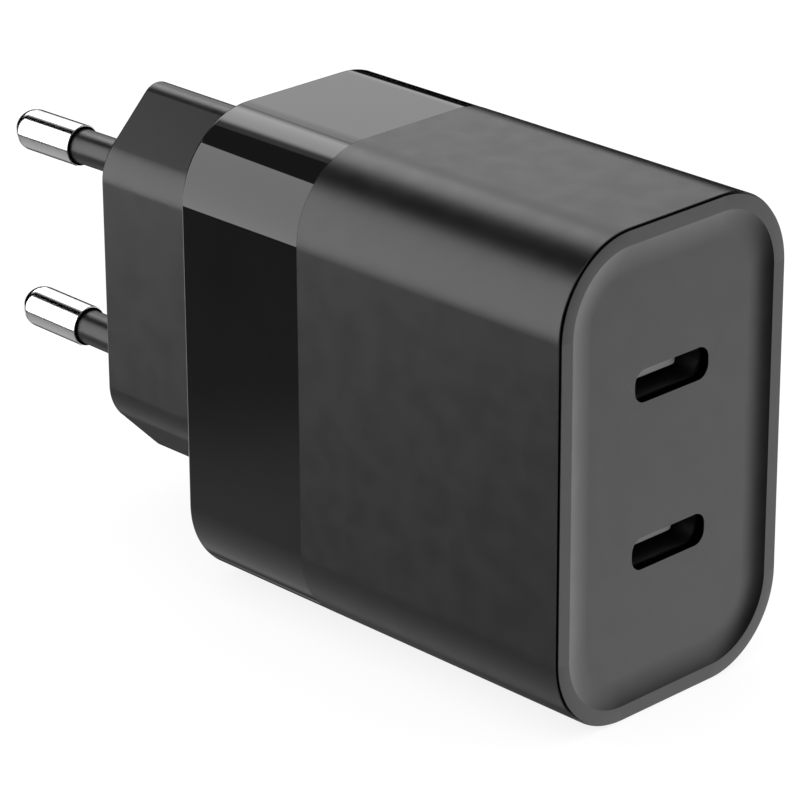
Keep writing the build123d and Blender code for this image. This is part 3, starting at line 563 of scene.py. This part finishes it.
def edge_mask(graph, radius):
    """1 on worn edges, 0 on flats: how far a rounded normal leans from the true one."""
    bevel = graph.add("ShaderNodeBevel", {"Radius": radius}, samples=4)
    geometry = graph.add("ShaderNodeNewGeometry")
    lean = graph.add("ShaderNodeVectorMath", operation="DOT_PRODUCT")
    graph.tree.links.new(bevel.outputs[0], lean.inputs[0])
    graph.tree.links.new(geometry.outputs["Normal"], lean.inputs[1])
    return graph.ramp(lean.outputs["Value"], 0.995, 0.9)


def surface(name, colour, roughness, **look):
    """A procedural surface: mottled colour, uneven roughness, grain bump, worn edges and, where asked,
    painted shade.

    look holds metallic and mottle for the colour, uneven for the roughness, grain_scale and
    grain_height for the bump, stretch to draw the grain out along one axis, wear for the edges, and
    shadow for a function that makes a mask of painted shade, where the colour is painted near black and
    the reflection is turned off. Scales are in cycles a metre and heights in micrometres."""
    material = bpy.data.materials.new(name)
    material.use_nodes = True
    graph = Graph(material.node_tree)
    place = graph.add("ShaderNodeTexCoord").outputs["Object"]
    stretch = look.get("stretch", (1.0, 1.0, 1.0))
    stretched = graph.add("ShaderNodeVectorMath", {1: stretch}, {0: place}, operation="MULTIPLY")
    drawn_out = stretched.outputs[0]

    mottle = look.get("mottle", 0.12)
    patches = graph.noise(place, MOTTLE_SCALE, detail=3.0)
    tint = graph.mix_colour(patches, shade(colour, 1.0 - mottle), shade(colour, 1.0 + mottle))

    grain = graph.noise(drawn_out, look.get("grain_scale", 4200.0), detail=1.5)
    uneven = look.get("uneven", 0.04)
    clouds = graph.noise(drawn_out, CLOUD_SCALE, detail=4.0)
    rough = graph.ramp(clouds, 0.25, 0.75, roughness - uneven, roughness + uneven)

    wear = look.get("wear", 0.0)
    if wear:
        broken = graph.ramp(graph.noise(place, WEAR_SCALE, detail=3.0), 0.35, 0.65)
        worn = graph.math("MULTIPLY", edge_mask(graph, WEAR_WIDTH), broken)
        worn = graph.math("MULTIPLY", worn, wear)
        tint = graph.mix_colour(worn, tint, shade(colour, WEAR_LIGHTENING))
        rough = graph.math("SUBTRACT", rough, graph.math("MULTIPLY", worn, roughness * WEAR_POLISH))

    # Painted shade: where the shadow mask is 1 the colour is painted near black.
    shaded = look["shadow"](graph) if "shadow" in look else None
    if shaded is not None:
        tint = graph.mix_colour(shaded, tint, SHADOW_TINT)

    height = look.get("grain_height", 4.0) * MICRON
    bump = graph.add("ShaderNodeBump", {"Strength": 1.0, "Distance": height}, {"Height": grain})
    shader = graph.add(
        "ShaderNodeBsdfPrincipled",
        {"Metallic": look.get("metallic", 0.0), "IOR": PLASTIC_IOR, "Specular IOR Level": 0.5},
        {"Base Color": tint, "Roughness": rough, "Normal": bump.outputs[0]},
    )
    # The painted shade also takes away the reflection and the metal, so those faces stay black under
    # any light.
    if shaded is not None:
        lit = graph.math("SUBTRACT", 1.0, shaded)
        for key in ("Specular IOR Level", "Metallic"):
            entry = shader.inputs[key]
            graph.tree.links.new(graph.math("MULTIPLY", lit, entry.default_value), entry)
    graph.add("ShaderNodeOutputMaterial", links={"Surface": shader.outputs[0]})
    return material


def seam_shadow(graph):
    """Painted shade mask: 1 on the panel's sideways faces, such as the cap's thin side wall behind the
    rim and the slot walls, where the parting line and slots fall into shade.
    """
    split = graph.split(graph.add("ShaderNodeNewGeometry").outputs["True Normal"])
    facing_front = graph.math("ABSOLUTE", split["Y"])
    return graph.ramp(facing_front, 0.8, 0.5)


def lip_shadow(graph):
    """Painted shade mask: 1 on a pin's root and in the narrow gap behind its bright tip's lip, where
    the gap falls into shade.
    """
    place = graph.split(graph.add("ShaderNodeTexCoord").outputs["Object"])
    lean = graph.math("MULTIPLY", place["Y"], PIN_TILT)
    axis_height = graph.math("SUBTRACT", PIN_PITCH / 2 * MM, lean)
    off_axis = graph.math("SUBTRACT", graph.math("ABSOLUTE", place["Z"]), axis_height)
    squares = [graph.math("POWER", length, 2.0) for length in (off_axis, place["X"])]
    radius = graph.math("SQRT", graph.math("ADD", *squares))
    shallow, deep = [(PIN_R - below) * MM for below in LIP_SHADOW_BELOW_SKIN]
    near, far = [(COLLAR_LENGTH + PIN_LIP_DEPTH + past) * MM for past in LIP_SHADOW_PAST_LIP]
    inside_skin = graph.ramp(radius, shallow, deep)
    behind_tip = graph.ramp(place["Y"], far, near)
    return graph.math("MULTIPLY", inside_skin, behind_tip)


# ---------------------------------------------------------------- materials of the object
def visible_materials():
    """Materials of the rebuilt pieces, by the record's slot name."""
    return {
        "gloss_black_plastic": surface(
            "gloss_black_plastic", grey(0.0076), 0.02,
            uneven=0.01, mottle=0.2, grain_scale=260.0, grain_height=1.2, wear=0.25,
        ),
        "matte_black_plastic": surface(
            "matte_black_plastic", grey(0.0005), 0.302,
            uneven=0.02, mottle=0.15, grain_scale=5200.0, grain_height=3.0, wear=0.3,
        ),
        # The panel's sideways faces get painted shade: colour painted near black and no reflection.
        "panel_black_plastic": surface(
            "panel_black_plastic", grey(0.0005), 0.322,
            uneven=0.02, mottle=0.15, grain_scale=5200.0, grain_height=3.0, wear=0.3,
            shadow=seam_shadow,
        ),
        "plug_black_plastic": surface(
            "plug_black_plastic", grey(0.0034), 0.312,
            uneven=0.025, mottle=0.15, grain_scale=4600.0, grain_height=4.0, wear=0.3,
        ),
        # The pins get painted shade in the gap behind the tip's lip: colour near black, no metal and no
        # reflection.
        "nickel_plate": surface(
            "nickel_plate", grey(0.77), 0.14,
            metallic=1.0, uneven=0.006, mottle=0.02, grain_scale=1500.0, grain_height=0.1,
            stretch=(1.0, 0.05, 1.0), shadow=lip_shadow,
        ),
        "collar_black_nylon": surface(
            "collar_black_nylon", grey(0.0005), 0.338,
            uneven=0.03, mottle=0.2, grain_scale=3800.0, grain_height=4.0,
        ),
        # The receptacle shells' steel is painted far darker than bare steel, a painted shade for the
        # deep inside of the port slots.
        "port_steel": surface(
            "port_steel", (0.12, 0.12, 0.125), 0.42,
            metallic=1.0, uneven=0.04, stretch=BRUSHED_ALONG_Y, grain_height=3.0,
        ),
        "port_black_plastic": surface(
            "port_black_plastic", grey(0.23), 0.45,
            uneven=0.04, mottle=0.1, grain_scale=3000.0, grain_height=3.0,
        ),
    }


def inner_look(finish_class):
    """Looks of the hidden parts by the record's material class."""
    looks = {
        "matte_plastic": dict(roughness=0.5, uneven=0.06, grain_height=6.0),
        "gloss_plastic": dict(roughness=0.18, uneven=0.05, grain_scale=900.0, grain_height=3.0),
        "brushed_steel": dict(roughness=0.32, metallic=1.0, stretch=BRUSHED_ALONG_Y, grain_height=3.0),
        "aluminium": dict(roughness=0.28, metallic=1.0, stretch=BRUSHED_ALONG_X, grain_height=2.0),
        "brass": dict(roughness=0.25, metallic=1.0, grain_scale=2200.0, grain_height=3.0),
        "cast_iron": dict(roughness=0.55, uneven=0.1, grain_scale=3000.0, grain_height=10.0),
        "rubber": dict(roughness=0.65, uneven=0.08, grain_height=8.0),
        "chrome": dict(roughness=0.08, metallic=1.0, grain_height=1.0),
    }
    look = dict(looks[finish_class])
    return look.pop("roughness"), look


def paint_cad_nodes(made):
    """Gives every CAD node that stays on show the procedural material of its slot."""
    finishes = {entry["slot"]: entry for entry in frame["record"]["materials"]}
    cache = dict(made)
    for part in frame["record"]["subparts"]:
        slot_name = part["material_slot"]
        if slot_name not in cache:
            entry = finishes[slot_name]
            roughness, look = inner_look(entry["class"])
            cache[slot_name] = surface(slot_name, entry["base_color"], roughness, **look)
        node = frame["nodes"][part["node"]]
        node.data.materials.clear()
        node.data.materials.append(cache[slot_name])


# ---------------------------------------------------------------- studio
# Soft lights painted on the sky, seen only in reflections. Each is a patch of sky. azimuth is
# its middle, anticlockwise from +X, and half is half its width. low and high are elevations, and
# soft is the softness of its sides, its lower and its upper edge. All of these are degrees.
# The last five stand where the camera's side sees nothing of them and light the other sides.
# Every other ray meets a plain white sky of strength SKY_LIGHT.
SOFT_LIGHTS = {
    "left_key": dict(
        azimuth=143.5, half=34.0, low=-17.5, high=37.5, soft=(5.0, 0.5, 0.5), radiance=3.0,
    ),
    "top_key": dict(
        azimuth=68.0, half=12.5, low=22.0, high=51.0, soft=(9.0, 4.0, 5.0), radiance=3.45,
    ),
    "top_key_step": dict(
        azimuth=84.5, half=6.0, low=22.0, high=51.0, soft=(2.0, 4.0, 5.0), radiance=0.4,
    ),
    "back_fill": dict(
        azimuth=45.5, half=7.8, low=10.2, high=57.5, soft=(2.5, 3.0, 13.5), radiance=1.38,
    ),
    "front_panel_light": dict(
        azimuth=-21.0, half=36.5, low=-80.0, high=-1.0, soft=(13.0, 30.0, 24.5), radiance=1.7,
    ),
    "low_left_bounce": dict(
        azimuth=127.0, half=54.0, low=-71.0, high=-31.0, soft=(20.5, 5.5, 32.0), radiance=0.48,
    ),
    "low_left_step": dict(
        azimuth=123.0, half=14.0, low=-31.0, high=-23.5, soft=(13.5, 27.0, 2.0), radiance=0.26,
    ),
    "low_back_bounce": dict(
        azimuth=54.5, half=9.5, low=-43.5, high=-37.0, soft=(12.0, 2.0, 5.0), radiance=0.25,
    ),
    "low_front_bounce": dict(
        azimuth=-59.0, half=56.0, low=-50.5, high=-20.5, soft=(19.5, 9.0, 8.0), radiance=0.13,
    ),
    "rear_fill": dict(
        azimuth=-135.0, half=38.0, low=12.0, high=62.0, soft=(20.0, 10.0, 14.0), radiance=1.2,
    ),
    "rear_low_fill": dict(
        azimuth=-153.0, half=30.0, low=-62.0, high=-4.0, soft=(14.0, 10.0, 8.0), radiance=1.0,
    ),
    "right_low_fill": dict(
        azimuth=58.0, half=37.0, low=-29.0, high=-12.0, soft=(14.0, 6.0, 6.0), radiance=1.0,
    ),
    "front_high_fill": dict(
        azimuth=-45.0, half=35.0, low=40.0, high=66.0, soft=(16.0, 8.0, 8.0), radiance=1.0,
    ),
    "zenith_fill": dict(
        azimuth=0.0, half=200.0, low=70.0, high=100.0, soft=(1.0, 10.0, 1.0), radiance=1.0,
    ),
}
SKY_LIGHT = 1.1

# The floor glows, so that it stays almost white, and its paper takes the contact shadow.
FLOOR_GLOW = 0.85
FLOOR_HALF = 3000.0
FLOOR_GREYS = (0.19, 0.21)
FLOOR_SCALE = 30.0


def soft_edge(graph, value, edge, softness):
    """Rises smoothly from 0 to 1 across an edge, or falls where the softness is negative."""
    return graph.ramp(value, edge - softness / 2, edge + softness / 2)


def patch(graph, azimuth, elevation, light):
    """The brightness of one soft light for a direction."""
    side_soft, low_soft, high_soft = light["soft"]
    turn = graph.math("SUBTRACT", azimuth, light["azimuth"])
    wrapped = graph.add("ShaderNodeMath", {1: 180.0, 2: -180.0}, {0: turn}, operation="WRAP")
    offset = graph.math("ABSOLUTE", wrapped.outputs[0])
    sides = soft_edge(graph, offset, light["half"], -side_soft)
    bottom = soft_edge(graph, elevation, light["low"], low_soft)
    top = soft_edge(graph, elevation, light["high"], -high_soft)
    shape = graph.math("MULTIPLY", graph.math("MULTIPLY", sides, bottom), top)
    return graph.math("MULTIPLY", shape, light["radiance"])


def make_sky():
    """White soft light for diffuse rays, and the painted soft lights for reflections."""
    world = bpy.data.worlds.new("studio")
    bpy.context.scene.world = world
    world.use_nodes = True
    world.cycles.sampling_method = "NONE"
    graph = Graph(world.node_tree)
    direction = graph.add("ShaderNodeTexCoord").outputs["Generated"]
    split = graph.split(direction)
    degrees = math.degrees(1.0)
    azimuth = graph.math("MULTIPLY", graph.math("ARCTAN2", split["Y"], split["X"]), degrees)
    elevation = graph.math("MULTIPLY", graph.math("ARCSINE", split["Z"]), degrees)
    total = 0.0
    for light in SOFT_LIGHTS.values():
        total = graph.math("ADD", patch(graph, azimuth, elevation, light), total)
    studio = graph.add("ShaderNodeBackground", {"Color": WHITE}, {"Strength": total})
    plain = graph.add("ShaderNodeBackground", {"Color": WHITE, "Strength": SKY_LIGHT})
    rays = graph.add("ShaderNodeLightPath")
    choice = graph.add("ShaderNodeMixShader")
    graph.tree.links.new(rays.outputs["Is Glossy Ray"], choice.inputs[0])
    graph.tree.links.new(plain.outputs[0], choice.inputs[1])
    graph.tree.links.new(studio.outputs[0], choice.inputs[2])
    graph.add("ShaderNodeOutputWorld", links={"Surface": choice.outputs[0]})


def make_floor():
    """A plain pale floor at the body's underside. Reflections pass through it to the sky."""
    bm = bmesh.new()
    for x, y in ((-1, -1), (1, -1), (1, 1), (-1, 1)):
        bm.verts.new(Vector((x * FLOOR_HALF, y * FLOOR_HALF, BASE_Z)) * MM)
    bm.faces.new(bm.verts)
    mesh = bpy.data.meshes.new("floor")
    bm.to_mesh(mesh)
    bm.free()
    floor = bpy.data.objects.new("floor", mesh)
    bpy.context.scene.collection.objects.link(floor)
    material = bpy.data.materials.new("floor_paper")
    material.use_nodes = True
    graph = Graph(material.node_tree)
    place = graph.add("ShaderNodeTexCoord").outputs["Object"]
    dark, light = [shade(grey(level), 1.0) for level in FLOOR_GREYS]
    tint = graph.mix_colour(graph.noise(place, FLOOR_SCALE), dark, light)
    paper = graph.add("ShaderNodeBsdfDiffuse", links={"Color": tint})
    glow = graph.add("ShaderNodeEmission", {"Color": WHITE, "Strength": FLOOR_GLOW})
    shader = graph.add("ShaderNodeAddShader", links={0: paper.outputs[0], 1: glow.outputs[0]})
    graph.add("ShaderNodeOutputMaterial", links={"Surface": shader.outputs[0]})
    mesh.materials.append(material)
    floor.visible_glossy = False


# The camera stands front left of the charger and above it, far away with a long lens.
CAMERA_AZIMUTH = -44.172
CAMERA_ELEVATION = 22.854
CAMERA_ROLL = -0.282
CAMERA_PLACE = Vector((-233.94, -272.66, 137.42))
CAMERA_LENS = 185.44
CAMERA_SENSOR = 36.0
CAMERA_NEAR = 10.0


def make_camera():
    """A camera that looks along its azimuth and elevation with a slight roll."""
    azimuth = math.radians(CAMERA_AZIMUTH)
    elevation = math.radians(CAMERA_ELEVATION)
    roll = math.radians(CAMERA_ROLL)
    level = math.cos(elevation)
    back = Vector((math.sin(azimuth) * level, -math.cos(azimuth) * level, math.sin(elevation)))
    right = Vector((math.cos(azimuth), math.sin(azimuth), 0.0))
    up = back.cross(right)
    turned_right = right * math.cos(roll) + up * math.sin(roll)
    turned_up = up * math.cos(roll) - right * math.sin(roll)
    data = bpy.data.cameras.new("camera")
    data.sensor_width = CAMERA_SENSOR
    data.lens = CAMERA_LENS
    data.clip_start = CAMERA_NEAR * MM
    camera = bpy.data.objects.new("camera", data)
    rotation = Matrix((turned_right, turned_up, back)).transposed().to_4x4()
    camera.matrix_world = Matrix.Translation(CAMERA_PLACE * MM) @ rotation
    bpy.context.scene.collection.objects.link(camera)
    bpy.context.scene.camera = camera


def build():
    """Makes every visible piece, paints the parts inside and sets up the studio."""
    made = visible_materials()
    make_rear_band(made["gloss_black_plastic"])
    make_front_sleeve(made["matte_black_plastic"])
    make_front_cap(made["panel_black_plastic"])
    make_plug_stub(made["plug_black_plastic"])
    for side, word in ((1, "upper"), (-1, "lower")):
        make_pin(side, f"bright_pin_{word}", f"plug_pin_{word}", made["nickel_plate"])
        make_collar(side, f"insulating_collar_{word}", f"pin_collar_{word}", made["collar_black_nylon"])
    paint_cad_nodes(made)
    make_sky()
    make_floor()
    make_camera()
    bpy.context.scene.view_settings.view_transform = "Standard"


build()
